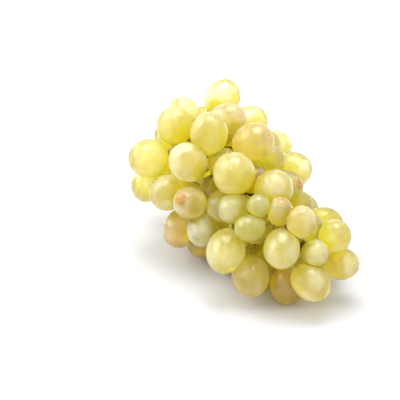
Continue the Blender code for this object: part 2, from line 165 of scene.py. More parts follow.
# grapes of the near side: along, around, reach, width, then where the blossom end points
# (degrees leaned toward the bunch's tip, degrees around the axis)
NEAR = {
    "left_shoulder": (
        (15, -76, 40, 21, 12, -75),
        (15, -41, 36, 20.5, 21, -24),
        (14, -102, 37, 20, 25, -109),
        (3, -23, 25, 19, 0, -24),
    ),
    "crown": (
        (9, 20, 34, 19.5, 9, 23),
        (25, 7, 29, 18.5, 37, 40),
    ),
    "upper_flank": (
        (39, -28, 39, 20.5, -3, 1),
        (42, -55, 40, 20.5, 6, -37),
        (55, -2, 33, 21, 40, 18),
    ),
    "flank": (
        (67, -36, 37, 22.5, 26, -27),
        (78, -65, 30, 16, 18, -86),
    ),
    "belly": (
        (33, -92, 37, 19.5, 20, -93),
        (50, -85, 35, 18, 10, -55),
        (42, -123, 40, 18.5, 43, -123),
        (57, -117, 31, 19.5, 41, -85),
        (48, -146, 36, 17.5, 30, -150),
    ),
    "right_shoulder": (
        (13, 64, 31, 20, 20, 66),
        (30, 86, 37, 20, 20, 86),
    ),
    "right_flank": (
        (51, 86, 33, 21, 32, 64),
        (69, 113, 31, 19, 30, 114),
    ),
    "middle": (
        (82, -18, 23, 20.5, 30, -14),
        (89, -41, 33, 12.5, 20, -42),
        (94, -67, 31, 14.5, 0, -84),
        (97, -33, 24, 13.5, 4, 1),
        (112, -17, 22, 15.5, 3, -9),
        (111, -69, 22, 19, 50, -110),
    ),
    "lower": (
        (85, -96, 36, 20.5, 38, -128),
        (98, -127, 31, 20, 55, -122),
        (110, -156, 23, 18.5, 30, -158),
    ),
    "end": (
        (117, -35, 8, 14.5, 39, -30),
        (115, 46, 19, 17.5, 27, -12),
        (122, 125, 18, 17.5, 50, 59),
        (126, -138, 15, 19, 75, 136),
    ),
}

# grapes of the far side and the underside: along, around, reach, width; they point straight
# out, leaned FAR_LEAN toward the tip, and partly away from their own branch
FAR_LEAN = 30.0
FAR_SPREAD = 0.3
INNER_SPREAD = 1.0
FAR = {
    "right_shoulder": ((10, 100, 29, 19), (36, 60, 25, 19)),
    "right_flank": ((60, 95, 18, 17), (76, 35, 17, 15), (82, 85, 17, 15)),
    "rear": (
        (-7, 78, 14, 19),
        (-8, 125, 18, 19.5),
        (7, 142, 27, 19),
        (7, 179, 29, 20),
        (-6, -62, 12, 16),
        (-7, -138, 19, 20),
        (10, -141, 27, 18.5),
    ),
    "keel_rear": ((25, 164, 36, 20), (25, -167, 36, 19.5), (27, 134, 32, 20)),
    "off_rear": ((44, 151, 36, 19), (43, 179, 33, 19.5), (48, 124, 33, 19)),
    "keel_front": ((63, 147, 33, 20), (63, 180, 30, 20), (67, -148, 33, 19.5), (80, 167, 28, 19.5)),
    "lower": ((85, -153, 28, 18.5), (97, 176, 25, 18.5)),
    "off_front": ((80, 150, 17, 17), (86, 142, 31, 19), (100, 135, 18, 17.5), (92, 92, 19, 16.5)),
}

# small grapes of the inside, seen only through gaps: along, around, reach, width
INNER = {
    "left_shoulder": ((26, -74, 22, 17.5), (17, -16, 15, 16.5)),
    "crown": ((22, 34, 17, 16),),
    "upper_flank": ((44, -28, 21, 17),),
    "flank": ((59, -74, 22, 18.5), (70, -30, 14, 16)),
    "belly": ((38, -146, 18, 16), (54, -150, 15, 16), (24, -128, 23, 16), (44, -100, 19, 14)),
    "right_shoulder": ((28, 96, 18, 16),),
    "right_flank": ((47, 40, 22, 17),),
    "middle": ((86, -80, 16, 15),),
    "keel_rear": ((22, -175, 19, 16),),
    "off_rear": ((40, 134, 17, 16),),
    "keel_front": ((72, 178, 12, 15),),
    "lower": ((92, -160, 12, 14), (76, -120, 20, 15)),
    "end": ((100, 30, 8, 13),),
}

# how the near grapes look, in the same order: ripeness from 0, green, to 1, amber; then how
# far the tip is blushed, and how much pale bloom the skin wears, each from 0 to 1. The bloom is
# partly the skin's own and partly painted light: it is set higher on some grapes to paint them paler
NEAR_LOOKS = {
    "left_shoulder": ((0.3, 0.15, 0.45), (0.45, 0.1, 0.3), (0.5, 0.3, 0.8), (0.3, 0.0, 0.9)),
    "crown": ((0.4, 0.1, 0.85), (0.6, 0.4, 0.5)),
    "upper_flank": ((0.4, 0.0, 0.35), (0.5, 0.1, 0.6), (0.6, 0.6, 0.4)),
    "flank": ((0.42, 0.0, 0.35), (0.15, 0.0, 0.4)),
    "belly": (
        (0.5, 0.2, 0.5),
        (0.6, 1.0, 0.65),
        (0.9, 0.5, 0.5),
        (0.2, 0.0, 0.7),
        (0.9, 0.3, 0.1),
    ),
    "right_shoulder": ((0.3, 0.1, 0.85), (0.35, 0.0, 0.85)),
    "right_flank": ((0.5, 0.7, 0.8), (0.65, 0.2, 0.5)),
    "middle": (
        (0.3, 0.0, 0.5),
        (0.2, 0.0, 0.25),
        (0.2, 0.0, 0.3),
        (0.6, 0.8, 0.35),
        (0.65, 0.6, 0.5),
        (0.55, 0.05, 0.4),
    ),
    "lower": ((0.55, 0.0, 0.45), (0.8, 0.1, 0.3), (0.9, 0.2, 0.0)),
    "end": ((0.55, 0.1, 0.5), (0.55, 0.3, 0.5), (0.6, 0.1, 0.6), (0.6, 0.0, 0.5)),
}

# the four stages of ripeness: name, colour that the flesh lets by, and tint of the skin
SKINS = (
    ("green_grape_flesh", "#fefd00", "#f5f4ba"),
    ("straw_grape_flesh", "#fffd00", "#fcf8bc"),
    ("golden_grape_flesh", "#fffc00", "#fcf4b8"),
    ("amber_grape_flesh", "#fffb00", "#fbeab0"),
)
RIPE_FROM = (0.23, 0.58, 0.85)    # ripeness at which the second, third and last begin

# ---- finishes ----

# what shows on the skin, mm
BLOOM_CLOUD = 11.8         # a soft cloud of bloom
BLUSH_GRAIN = 2.0          # the ragged edge of a blushed tip
SPECK_SPACING = 4.55       # brown specks, before three in four are left out
SPECK_RADII = (0.136, 0.273)       # where a speck starts to fade, and where it ends
SCAR_RADII = (0.3, 0.7)    # the same for the dry scar at the tip

# shares of the light that reach the flesh
CLEAN_SKIN = 0.94          # through clean skin
BROWN_SKIN = 0.3           # through a speck or a brown scar
BLOOM_VEIL = 0.5           # full bloom keeps this much out
BLUSH_VEIL = 0.4           # and a full blush this much

# the flesh, per metre
FLESH_ABSORBS = 300.0
FLESH_SCATTERS = 50.0

# what shows on the wood and the table, mm
BARK_PATCH = 2.86          # a younger or an older patch
WART_SPACING = 0.667
WART_RADII = (0.08, 0.2)   # where a wart's flat top ends, and its foot
FIBRE_WIDTH = 0.455
BARK_BUMP = 0.15           # height of the warts and fibres
PALE_CAP = (1.5, 4.0)      # from the grape: where the cap's pale colour starts to fade, and ends
LAMINATE_CLOUD = 100.0

# a Mix node's two colours and its mixed one, which share their names with its numbers
COLOUR_A, COLOUR_B, MIXED = 6, 7, 2

# ---- table, light and camera ----

# mm and degrees; an azimuth of 0 looks from -Y, and 90 from +X
TABLE_SIZE = 6000.0
CAMERA_AZIMUTH = 55.0
CAMERA_ELEVATION = 28.0
CAMERA_DISTANCE = 750.0
CAMERA_AIM = (-10.64, -23.36, 39.27)
CAMERA_LENS = 123.9
CAMERA_REACH = 20000.0     # nothing is seen beyond it
LAMP_AIM = 40.0            # height above the table that the lamps face

# lamps: azimuth, elevation, how far away, how wide, watts, colour
LAMPS = {
    "window_overhead": (215, 82, 1100, 700, 9.5, "#fffdf8"),
    "window_left": (320, 38, 1100, 800, 7.5, "#fdfdff"),
}
ROOM_COLOUR = "#fbfcff"    # the white all round, and its strength
ROOM_LIGHT = 1.27

# times that light may bounce in all, and pass into or scatter in grapes
BOUNCES = 48
FLESH_BOUNCES = 24


# ---- the bunch's own directions ----

def unit(vectors):
    """The same directions, each of length 1."""
    return vectors / np.linalg.norm(vectors, axis=-1, keepdims=True)


ALONG = unit(AXIS_FRONT - AXIS_REAR)
RISE = unit(np.array((0.0, 0.0, 1.0)) - ALONG * ALONG[2])
ACROSS = np.cross(RISE, ALONG)


def outward(around):
    """Direction square to the bunch's axis."""
    turn = math.radians(around)
    return RISE * math.cos(turn) + ACROSS * math.sin(turn)


def spot(along, around, reach):
    """Point that a row of the tables stands for."""
    return AXIS_REAR + ALONG * along + outward(around) * reach


def pointing(lean, around):
    """Direction leaned from square to the axis toward the bunch's tip."""
    tilt = math.radians(lean)
    return ALONG * math.sin(tilt) + outward(around) * math.cos(tilt)


# ---- where the grapes sit ----

class Grapes:
    """Seats of all the grapes, spray by spray."""

    def __init__(self):
        seats, tips, widths, owner, near = [], [], [], [], []
        for number, name in enumerate(BRANCHES):
            for along, around, reach, width, lean, turn in NEAR.get(name, ()):
                seats.append(spot(along, around, reach))
                tips.append(pointing(lean, turn))
                widths.append(width)
                owner.append(number)
                near.append(True)
            fork = spot(*BRANCHES[name])
            hidden = [(row, FAR_SPREAD) for row in FAR.get(name, ())]
            hidden += [(row, INNER_SPREAD) for row in INNER.get(name, ())]
            for (along, around, reach, width), spread in hidden:
                seat = spot(along, around, reach)
                seats.append(seat)
                tips.append(unit(spread * unit(seat - fork) + pointing(FAR_LEAN, around)))
                widths.append(width)
                owner.append(number)
                near.append(False)
        self.seat = np.array(seats)
        self.centre = self.seat.copy()
        self.tip = np.array(tips)
        self.half = np.array(widths) / 2
        self.long = self.half * STRETCH
        self.owner = np.array(owner)
        self.near = np.array(near)
        self.count = len(seats)
        self.fork = np.array([spot(*end) for end in BRANCHES.values()])
        leaving = [max(end[0] - LATERAL_SETBACK, FIRST_FOOT) for end in BRANCHES.values()]
        self.foot = np.array([spot(along, 0, 0) for along in leaving])

    def surface(self, toward, axis, rows):
        """Distance from a grape's centre to its skin in a direction."""
        cosine = (toward * axis).sum(-1) ** 2
        long = self.long[rows]
        half = self.half[rows]
        return 1.0 / np.sqrt(cosine / long ** 2 + (1.0 - cosine) / half ** 2)

    def pole(self, reach):
        """Points behind the grapes' stem ends, on their own axes."""
        return self.centre - self.tip * (self.long + reach)[:, None]


def gaps(grapes):
    """Unit vectors between all grapes, and the air between their skins."""
    every = np.arange(grapes.count)
    across = grapes.centre[None] - grapes.centre[:, None]
    distance = np.linalg.norm(across, axis=-1) + np.eye(grapes.count)
    toward = across / distance[..., None]
    first = grapes.surface(toward, grapes.tip[:, None], every[:, None])
    second = grapes.surface(toward, grapes.tip[None], every[None])
    air = distance - first - second
    air[np.eye(grapes.count, dtype=bool)] = NO_PAIR
    return toward, air


def choose_links(grapes, air):
    """Within each spray, the fewest and closest pairs that join all of its grapes."""
    links = np.zeros_like(air, dtype=bool)
    for number in range(len(BRANCHES)):
        waiting = list(np.where(grapes.owner == number)[0])
        joined = [waiting.pop(0)]
        while waiting:
            _, inner, outer = min((air[a, b], a, b) for a in joined for b in waiting)
            links[inner, outer] = True
            links[outer, inner] = True
            joined.append(outer)
            waiting.remove(outer)
    return links


def grape_moves(grapes, links):
    """Steps that open or close the air between grapes."""
    toward, air = gaps(grapes)
    same = grapes.owner[:, None] == grapes.owner[None]
    loose = same & ~links
    crowded = ~same & (air < SPRAY_GAP)
    apart = links & (air > -WELD)
    grazing = loose & (air > -SHORT_OF_WELD) & (air < SPRAY_GAP)
    shallow = loose & (air > -SURE_WELD) & (air <= -SHORT_OF_WELD)
    deep = same & (air < -DEEP_WELD)
    move = np.where(crowded | grazing, SPRAY_GAP - air, 0.0)
    move = np.where(apart, np.maximum(-WELD_SHARE * (air + WELD), -LONGEST_STEP), move)
    move = np.where(shallow, -FIRMING_SHARE * (air + SURE_WELD), move)
    move = np.where(deep, -DEEP_WELD - air, move)
    lightness = np.where(grapes.near, 1 / STIFFNESS, 1.0)
    share = lightness[:, None] / (lightness[:, None] + lightness[None])
    return -EASE * (toward * (move * share)[..., None]).sum(1)


def stem_runs(grapes):
    """All straight runs of stem: start, end, radius. First come the far halves of the grape
    stems, then their near halves with the caps, then the branches and the stalk."""
    stalk = np.array([spot(*row[:3]) for row in STALK])
    thick = np.array([row[3] for row in STALK])
    knee = grapes.pole(PEDICEL_KNEE)
    start = np.concatenate([grapes.fork[grapes.owner], knee, grapes.foot, stalk[:-1]])
    end = np.concatenate([knee, grapes.pole(PEDICEL_GAP), grapes.fork, stalk[1:]])
    radius = np.concatenate([
        np.full(grapes.count, PEDICEL_RADIUS),
        np.full(grapes.count, (PEDICEL_RADIUS + CAP_RADIUS) / 2),
        np.full(len(grapes.fork), LATERAL_RADIUS),
        thick[:-1],
    ])
    return start, end, radius


def stem_moves(grapes):
    """Steps that clear the stems: a grape moves off a stem, and a grape stem gives way."""
    start, end, radius = stem_runs(grapes)
    run = end - start
    from_start = grapes.centre[:, None] - start[None]
    part = (from_start * run).sum(-1) / np.maximum((run * run).sum(-1), TINY)
    part = np.clip(part, 0.0, 1.0)
    off = from_start - run[None] * part[..., None]
    distance = np.linalg.norm(off, axis=-1) + NO_LENGTH
    away = off / distance[..., None]
    every = np.arange(grapes.count)
    skin = grapes.surface(away, grapes.tip[:, None], every[:, None])
    need = np.maximum(skin + radius[None] + STEM_CLEAR - distance, 0.0)
    need[every, every] = 0.0
    need[every, grapes.count + every] = 0.0
    strength = np.full(len(radius), STEM_PUSH)
    strength[:2 * grapes.count] = STEM_GIVE
    push = (away * (need * strength)[..., None]).sum(1)
    for block in range(2):
        columns = slice(block * grapes.count, (block + 1) * grapes.count)
        lever = part[:, columns] if block == 0 else 1.0
        push -= (away[:, columns] * (need[:, columns] * STEM_GIVE * lever)[..., None]).sum(0)
    return push * np.where(grapes.near, NEAR_STEM_GIVE, 1.0)[:, None]


def settle():
    """Grapes with room for each other and for the stems, resting on the ground."""
    grapes = Grapes()
    links = np.zeros((grapes.count, grapes.count), dtype=bool)
    rise = np.sqrt(grapes.half ** 2 + (grapes.long ** 2 - grapes.half ** 2) * grapes.tip[:, 2] ** 2)
    for step in range(ROUNDS):
        part = step / ROUNDS
        hold = float(np.interp(part, HOLD_AT, HOLD))
        firm = max(hold, LEAST_HOLD) if part < LET_GO else 0.0
        pull = np.where(grapes.near, firm, HIDDEN_HOLD * hold)
        grapes.centre += (grapes.seat - grapes.centre) * pull[:, None]
        if step in [int(ROUNDS * moment) for moment in LINKING]:
            links = choose_links(grapes, gaps(grapes)[1])
        move = grape_moves(grapes, links) + stem_moves(grapes)
        size = np.linalg.norm(move, axis=1, keepdims=True)
        grapes.centre += move * np.minimum(1.0, LONGEST_STEP / np.maximum(size, TINY))
        under = rise - FLAT_DIP - grapes.centre[:, 2]
        grapes.centre[:, 2] += np.maximum(under, 0.0)
        if part > HANGING_FROM:
            hanging = ~grapes.near & (under > -HANGING)
            grapes.centre[:, 2] += np.where(hanging, HANGING_SHARE * under, 0.0)
    return grapes


# ---- grapes ----

def sphere_grid():
    """Unit directions and faces of a sphere whose rings crowd toward its two poles."""
    bm = bmesh.new()
    bmesh.ops.create_uvsphere(bm, u_segments=GRAPE_MESH[0], v_segments=GRAPE_MESH[1], radius=1.0)
    directions = np.array([vert.co for vert in bm.verts])
    faces = [tuple(vert.index for vert in face.verts) for face in bm.faces]
    bm.free()
    polar = np.arccos(np.clip(directions[:, 2], -1.0, 1.0))
    crowded = polar - POLE_CROWDING * np.sin(2 * polar) / 2
    turn = np.arctan2(directions[:, 1], directions[:, 0])
    ring = np.sin(crowded)
    moved = np.stack([ring * np.cos(turn), ring * np.sin(turn), np.cos(crowded)], axis=1)
    return moved, faces


def ripples(directions, draw):
    """A smooth uneven field over a sphere, about -1 to 1."""
    total = np.zeros(len(directions))
    for size in LUMP_WAVES:
        wave = draw.normal(size=3) * size
        total += np.sin(directions @ wave + draw.uniform(0, 2 * math.pi)) / size
    return total


def bump_at(distance, radius):
    """1 in the middle, easing to 0 at a radius."""
    return 0.5 + 0.5 * np.cos(math.pi * np.minimum(distance / radius, 1.0))


def grape_form(directions, half, long, draw):
    """Skin of one grape in its own frame, blossom end at +Z, mm."""
    fuller = 1.0 + draw.uniform(-EGG, EGG) * directions[:, 2]
    lump = 1.0 + LUMPS / half * ripples(directions, draw)
    skin = directions * np.array((half, half, long)) * lump[:, None]
    skin[:, :2] *= fuller[:, None]
    off_axis = np.linalg.norm(skin[:, :2], axis=1)
    at_tip = directions[:, 2] > 0
    dip = np.where(at_tip, SCAR_DIMPLE[1] * bump_at(off_axis, SCAR_DIMPLE[0]), 0.0)
    dip -= np.where(at_tip, SCAR_HEIGHT * bump_at(off_axis, SCAR_RADIUS), 0.0)
    skin[:, 2] -= dip
    skin[:, 2] += np.where(at_tip, 0.0, STEM_DIMPLE[1] * bump_at(off_axis, STEM_DIMPLE[0]))
    return skin


def held_below(height, limit):
    """Heights eased to stay under a limit."""
    over = height - (limit - PRESS_EDGE)
    eased = limit - PRESS_EDGE * np.exp(-np.maximum(over, 0.0) / PRESS_EDGE)
    return np.where(over > 0.0, eased, height)


def pressed(skin, grapes, member, toward, air):
    """Skin of a placed grape, flattened where it meets its neighbours and the table."""
    for other in np.where(air[member] < 0.0)[0]:
        direction = toward[member, other]
        row = np.array([member])
        reach = grapes.surface(direction[None], grapes.tip[row], row)[0]
        limit = reach + (air[member, other] - TOUCH_GAP) / 2
        height = (skin - grapes.centre[member]) @ direction
        skin = skin - (height - held_below(height, limit))[:, None] * direction
    skin[:, 2] = -held_below(-skin[:, 2], 0.0)
    return skin


def own_frame(axis):
    """Columns are a grape's own X, Y and tip direction."""
    turn = Vector(axis).to_track_quat("Z", "Y").to_matrix()
    return np.array(turn)


def looks_of(name, count, draw):
    """Ripeness, blush and bloom of a spray's grapes: chosen for the near ones, drawn for the rest.
    On the near ones the bloom is partly painted light that makes some of them paler.
    """
    known = list(NEAR_LOOKS.get(name, ()))
    while len(known) < count:
        ripeness = draw.uniform(*HIDDEN_RIPENESS)
        known.append((ripeness, draw.uniform(0.0, 1.0) ** 2, draw.uniform(0.0, HIDDEN_BLOOM)))
    return known


def in_place(points):
    """Points in mm, moved to the model's own origin, in metres."""
    return (points + np.array((*ORIGIN_SHIFT, 0.0))) * MM


def add_object(name, data):
    """An object in the scene, made from a mesh, a lamp or a lens."""
    made = bpy.data.objects.new(name, data)
    bpy.context.scene.collection.objects.link(made)
    return made


def add_field(mesh, name, values):
    """A named number or vector on each point of a mesh."""
    kind, slot = ("FLOAT_VECTOR", "vector") if values.ndim == 2 else ("FLOAT", "value")
    field = mesh.attributes.new(name, kind, "POINT")
    field.data.foreach_set(slot, values.astype(np.float32).ravel())


def make_spray(grapes, number, name, skins):
    """All grapes of one spray, standing for the spray's fused solid."""
    draw = np.random.default_rng(SPRAY_SEED + number)
    directions, faces = sphere_grid()
    everywhere = np.ones(len(directions))
    toward, air = gaps(grapes)
    members = np.where(grapes.owner == number)[0]
    looks = looks_of(name, len(members), draw)
    points, quads, skin_of = [], [], []
    fields = {"grape_place": [], "tip_blush": [], "bloom_and_painted_light_share": [], "tip_share": [], "scar_depth": []}
    for order, (member, (ripeness, blush, bloom_and_painted_light)) in enumerate(zip(members, looks)):
        half, long = grapes.half[member], grapes.long[member]
        own = grape_form(directions, half, long, draw)
        skin = grapes.centre[member] + own @ own_frame(grapes.tip[member]).T
        points.append(pressed(skin, grapes, member, toward, air))
        quads += [tuple(corner + order * len(directions) for corner in face) for face in faces]
        skin_of += [int(np.searchsorted(RIPE_FROM, ripeness))] * len(faces)
        browned = max(draw.uniform(0.0, 1.0) ** 2, BLUSHED_SCAR * blush)
        fields["grape_place"].append(directions * np.array((half, half, long)))
        fields["tip_blush"].append(everywhere * blush)
        # bloom share: on near grapes partly painted light that makes some of them paler
        fields["bloom_and_painted_light_share"].append(everywhere * bloom_and_painted_light)
        fields["tip_share"].append(directions[:, 2])
        fields["scar_depth"].append(everywhere * SCAR_DARKEST * browned)
    mesh = bpy.data.meshes.new(name)
    mesh.from_pydata(in_place(np.concatenate(points)).tolist(), [], quads)
    for field, values in fields.items():
        add_field(mesh, field, np.concatenate(values))
    mesh.shade_smooth()
    mesh.update()
    for material in skins:
        mesh.materials.append(material)
    mesh.polygons.foreach_set("material_index", skin_of)
    spray = add_object("ripe_" + name, mesh)
    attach(spray, "root")
    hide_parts("grapes_" + name)


# ---- stalk ----

def smooth_run(knots, radii, step):
    """Points and radii every step mm along a smooth curve through knots."""
    knots = [np.array(knot, float) for knot in knots]
    padded = [2 * knots[0] - knots[1], *knots, 2 * knots[-1] - knots[-2]]
    points, sizes = [], []
    for place in range(len(knots) - 1):
        before, start, end, after = padded[place:place + 4]
        count = max(2, int(np.linalg.norm(end - start) / step))
        for share in np.arange(count) / count:
            bend = (
                2 * start
                + (end - before) * share
                + (2 * before - 5 * start + 4 * end - after) * share ** 2
                + (3 * start - before - 3 * end + after) * share ** 3
            )
            points.append(bend / 2)
            sizes.append(radii[place] + (radii[place + 1] - radii[place]) * share)
    return points + [knots[-1]], sizes + [radii[-1]]


def add_stem(bm, knots, radii, grain):
    """A closed smooth tube through knots, added to a mesh being made, in mm."""
    step, sides = grain
    points, radii = smooth_run(knots, radii, step)
    side = Vector(FIRST_SIDE)
    rings = []
    for number, point in enumerate(points):
        before = points[max(number - 1, 0)]
        after = points[min(number + 1, len(points) - 1)]
        ahead = Vector(after - before).normalized()
        side = (side - ahead * side.dot(ahead)).normalized()
        other = ahead.cross(side)
        ring = []
        for corner in range(sides):
            turn = 2 * math.pi * corner / sides
            offset = side * math.cos(turn) + other * math.sin(turn)
            ring.append(bm.verts.new(Vector(point) + offset * radii[number]))
        rings.append(ring)
    for lower, upper in zip(rings, rings[1:]):
        for corner in range(sides):
            following = (corner + 1) % sides
            bm.faces.new((lower[corner], lower[following], upper[following], upper[corner]))
    bm.faces.new(list(reversed(rings[0])))
    bm.faces.new(rings[-1])


def add_swelling(bm, centre, radius):
    """A knob round a joint, in mm."""
    made = bmesh.ops.create_icosphere(bm, subdivisions=3, radius=radius)
    for vert in made["verts"]:
        vert.co += Vector(centre)


def grape_stems(grapes):
    """Knots of every grape's own stem, from the fork to the cap."""
    knee = grapes.pole(PEDICEL_KNEE)
    turned = grapes.pole(PEDICEL_TURN)
    flare = grapes.pole(PEDICEL_FLARE)
    cap = grapes.pole(-CAP_SINK)
    runs = []
    for member in range(grapes.count):
        fork = grapes.fork[grapes.owner[member]]
        back = fork - knee[member]
        bend = knee[member] + back * min(LONGEST_BEND, PEDICEL_BEND / np.linalg.norm(back))
        runs.append((fork, bend, turned[member], flare[member], cap[member]))
    return runs


def stalk_blank(grapes):
    """Stalk, branches, swellings and grape stems, still as crossing tubes."""
    bm = bmesh.new()
    add_stem(bm, [spot(*row[:3]) for row in STALK], [row[3] for row in STALK], STALK_GRAIN)
    for foot, fork in zip(grapes.foot, grapes.fork):
        ahead = unit(fork - foot)
        past = fork + ahead * LATERAL_OVERRUN
        add_stem(bm, (foot, past), (LATERAL_ROOT, LATERAL_RADIUS), BRANCH_GRAIN)
        add_swelling(bm, fork, KNUCKLE_RADIUS)
        add_swelling(bm, foot + ahead * COLLAR_OUT, LATERAL_ROOT + COLLAR_EXTRA)
    for knots in grape_stems(grapes):
        add_stem(bm, knots, PEDICEL_RADII, PEDICEL_GRAIN)
    for vert in bm.verts:
        vert.co = in_place(np.array(vert.co))
    bmesh.ops.recalc_face_normals(bm, faces=bm.faces)
    mesh = bpy.data.meshes.new("stalk_blank")
    bm.to_mesh(mesh)
    bm.free()
    return mesh


def grown_together(blank):
    """One skin over crossing tubes, with softened joints."""
    holder = add_object("stalk_blank", blank)
    remesh = holder.modifiers.new("grow", "REMESH")
    remesh.mode = "VOXEL"
    remesh.voxel_size = BARK_VOXEL * MM
    smooth = holder.modifiers.new("soften", "SMOOTH")
    smooth.factor, smooth.iterations = BARK_SOFTENING
    graph = bpy.context.evaluated_depsgraph_get()
    mesh = bpy.data.meshes.new_from_object(holder.evaluated_get(graph))
    bpy.data.objects.remove(holder, do_unlink=True)
    return mesh


def distance_to_runs(points, start, end):
    """Distance from each point to the nearest of some straight runs."""
    nearest = np.full(len(points), np.inf)
    for first, last in zip(start, end):
        run = last - first
        share = np.clip((points - first) @ run / (run @ run), 0.0, 1.0)
        nearest = np.minimum(nearest, np.linalg.norm(points - first - share[:, None] * run, axis=1))
    return nearest


def read_vectors(mesh, what):
    """A mesh's points or their normals, one row each."""
    rows = np.empty(len(mesh.vertices) * 3)
    mesh.vertices.foreach_get(what, rows)
    return rows.reshape(-1, 3)


def roughen_bark(mesh, grapes):
    """Ridges on the wood, and fields for how old the wood is and how near a grape."""
    place = read_vectors(mesh, "co")
    normal = read_vectors(mesh, "normal")
    points = place / MM - np.array((*ORIGIN_SHIFT, 0.0))
    stalk = np.array([spot(*row[:3]) for row in STALK])
    to_stalk = distance_to_runs(points, stalk[:-1], stalk[1:])
    to_branch = distance_to_runs(points, grapes.foot, grapes.fork)
    of_stalk = np.interp(to_stalk, OLD_WOOD, (1.0, 0.0))
    of_branch = np.interp(to_branch, BRANCH_WOOD, (BRANCH_AGE, 0.0))
    wood = np.maximum(of_stalk, of_branch)
    to_cap = np.linalg.norm(points[:, None] - grapes.pole(0.0)[None], axis=2).min(axis=1)
    draw = np.random.default_rng(BARK_SEED)
    ridge = np.zeros(len(points))
    for size in BARK_WAVES:
        wave = draw.normal(size=3) * size
        ridge += np.sin(points @ wave + draw.uniform(0, 2 * math.pi))
    height = ridge / len(BARK_WAVES) * BARK_ROUGHNESS * (YOUNG_RIDGES + (1 - YOUNG_RIDGES) * wood)
    place += normal * height[:, None] * MM
    mesh.vertices.foreach_set("co", place.ravel())
    add_field(mesh, "wood", wood)
    add_field(mesh, "to_cap", to_cap)
    mesh.update()


def make_stalk(grapes, material):
    """The whole woody stalk, standing for the model's plain one."""
    mesh = grown_together(stalk_blank(grapes))
    roughen_bark(mesh, grapes)
    mesh.shade_smooth()
    mesh.materials.clear()
    mesh.materials.append(material)
    stalk = add_object("woody_stalk", mesh)
    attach(stalk, "root")
    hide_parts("stalk")


# ---- materials ----

def linear(colour):
    """sRGB hex to linear colour with alpha."""
    rows = []
    for place in (1, 3, 5):
        share = int(colour[place:place + 2], 16) / 255
        rows.append(share / 12.92 if share <= 0.04045 else ((share + 0.055) / 1.055) ** 2.4)
    return (*rows, 1.0)


def add(tree, kind, inputs=(), stops=(), **settings):
    """A node with its settings; each input takes a value or another node's output."""
    made = tree.nodes.new("ShaderNode" + kind)
    for name, value in settings.items():
        setattr(made, name, value)
    for name, value in dict(inputs).items():
        if isinstance(value, bpy.types.NodeSocket):
            tree.links.new(value, made.inputs[name])
        else:
            made.inputs[name].default_value = value
    for number, (place, colour) in enumerate(stops):
        ramp = made.color_ramp.elements
        stop = ramp[number] if number < 2 else ramp.new(place)
        stop.position = place
        stop.color = linear(colour)
    return made


def new_material(name):
    """An empty material and its nodes."""
    material = bpy.data.materials.new(name)
    material.use_nodes = True
    tree = material.node_tree
    tree.nodes.clear()
    return material, tree


def coords_mm(tree):
    """Place on the object, in mm."""
    place = add(tree, "TexCoord").outputs["Object"]
    return add(tree, "VectorMath", {0: place, "Scale": 1 / MM}, operation="SCALE").outputs[0]


def bloom_and_painted_light_clouds(tree, place):
    """Waxy bloom in soft clouds, more of it on some grapes than on others; on some near grapes the
    share is partly painted light that makes them paler.
    """
    share = add(tree, "Attribute", attribute_name="bloom_and_painted_light_share").outputs["Fac"]
    dust = add(tree, "TexNoise", {"Vector": place, "Scale": 1 / BLOOM_CLOUD, "Detail": 2.0}).outputs[0]
    levels = {"Value": dust, "From Min": 0.38, "From Max": 0.62, "To Min": 0.15, "To Max": 1.0}
    cloud = add(tree, "MapRange", levels, interpolation_type="SMOOTHSTEP").outputs[0]
    return add(tree, "Math", {0: cloud, 1: share}, operation="MULTIPLY").outputs[0]


def tip_blush(tree, place, tip):
    """The sun-touched tip of a grape, with a ragged edge. tip is 1 at a grape's very tip, and 0
    round its middle."""
    blush = add(tree, "Attribute", attribute_name="tip_blush").outputs["Fac"]
    grain = add(tree, "TexNoise", {"Vector": place, "Scale": 1 / BLUSH_GRAIN, "Detail": 3.0}).outputs[0]
    ragged = add(tree, "Math", {0: grain, 1: 0.12, 2: tip}, operation="MULTIPLY_ADD").outputs[0]
    levels = {"Value": ragged, "From Min": 0.86, "From Max": 1.04}
    at_tip = add(tree, "MapRange", levels, interpolation_type="SMOOTHSTEP").outputs[0]
    return add(tree, "Math", {0: at_tip, 1: blush}, operation="MULTIPLY").outputs[0]


def specks(tree, place):
    """Lenticels: brown specks a few tenths of a mm wide, here and there."""
    cell = add(tree, "TexVoronoi", {"Vector": place, "Scale": 1 / SPECK_SPACING})
    solid, faded = (radius / SPECK_SPACING for radius in SPECK_RADII)
    across = cell.outputs["Distance"]
    levels = {"Value": across, "From Min": solid, "From Max": faded, "To Min": 1.0, "To Max": 0.0}
    speck = add(tree, "MapRange", levels).outputs[0]
    pick = add(tree, "SeparateColor", {0: cell.outputs["Color"]}).outputs[0]
    levels = {"Value": pick, "From Min": 0.75, "From Max": 0.76, "To Min": 0.0, "To Max": 0.5}
    sparse = add(tree, "MapRange", levels).outputs[0]
    return add(tree, "Math", {0: speck, 1: sparse}, operation="MULTIPLY").outputs[0]


def tip_scar(tree, tip):
    """The dry scar at the tip, dark on some grapes and hardly there on others."""
    own = add(tree, "Attribute", attribute_name="grape_place").outputs["Vector"]
    depth = add(tree, "Attribute", attribute_name="scar_depth").outputs["Fac"]
    level = add(tree, "VectorMath", {0: own, 1: (1.0, 1.0, 0.0)}, operation="MULTIPLY").outputs[0]
    off_axis = add(tree, "VectorMath", {0: level}, operation="LENGTH").outputs["Value"]
    solid, faded = SCAR_RADII
    levels = {"Value": off_axis, "From Min": solid, "From Max": faded, "To Min": 1.0, "To Max": 0.0}
    spot_round = add(tree, "MapRange", levels).outputs[0]
    front = add(tree, "Math", {0: tip, 1: 0.0}, operation="GREATER_THAN").outputs[0]
    here = add(tree, "Math", {0: spot_round, 1: front}, operation="MULTIPLY").outputs[0]
    return add(tree, "Math", {0: here, 1: depth}, operation="MULTIPLY").outputs[0]


